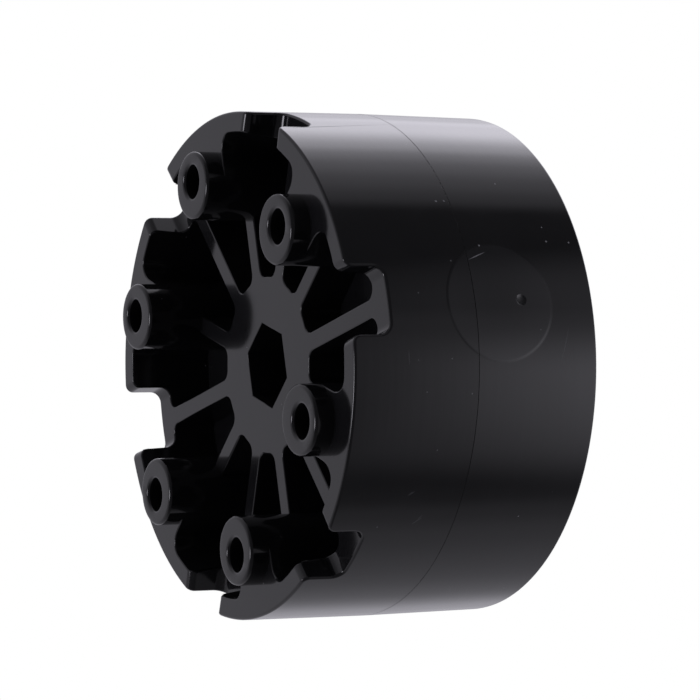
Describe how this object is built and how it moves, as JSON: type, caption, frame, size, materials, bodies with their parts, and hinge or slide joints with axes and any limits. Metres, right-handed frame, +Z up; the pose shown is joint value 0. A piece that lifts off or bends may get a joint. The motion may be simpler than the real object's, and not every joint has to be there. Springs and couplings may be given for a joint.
{
  "type": "oldham coupling",
  "caption": "Drum-shaped Oldham coupling: two ribbed plastic hubs with hex bores and a ring of mounting bosses around a floating cross-slotted disc.",
  "frame": {"origin": "on the axis of the coupling, in the plane where the two hubs meet", "axes": "+Y along the shaft axis from the notched front hub to the rear hub; +X to the right and +Z up, seen from the front"},
  "size_m": [0.0636, 0.0359, 0.0636],
  "materials": {
    "hub_plastic": "satin-gloss black moulded plastic",
    "slider_acetal": "matt black acetal"
  },
  "bodies": {
    "rear_hub": {"rear_hub": "hub_plastic"},
    "slider": {"slider_disc": "slider_acetal"},
    "front_hub": {"front_hub": "hub_plastic"}
  },
  "joints": [
    {"name": "slider_slide", "type": "slide", "parent": "rear_hub", "child": "slider", "axis": [0, 0, 1], "range_m": [-0.001, 0.001]},
    {"name": "front_hub_slide", "type": "slide", "parent": "slider", "child": "front_hub", "axis": [1, 0, 0], "range_m": [-0.001, 0.001]}
  ]
}
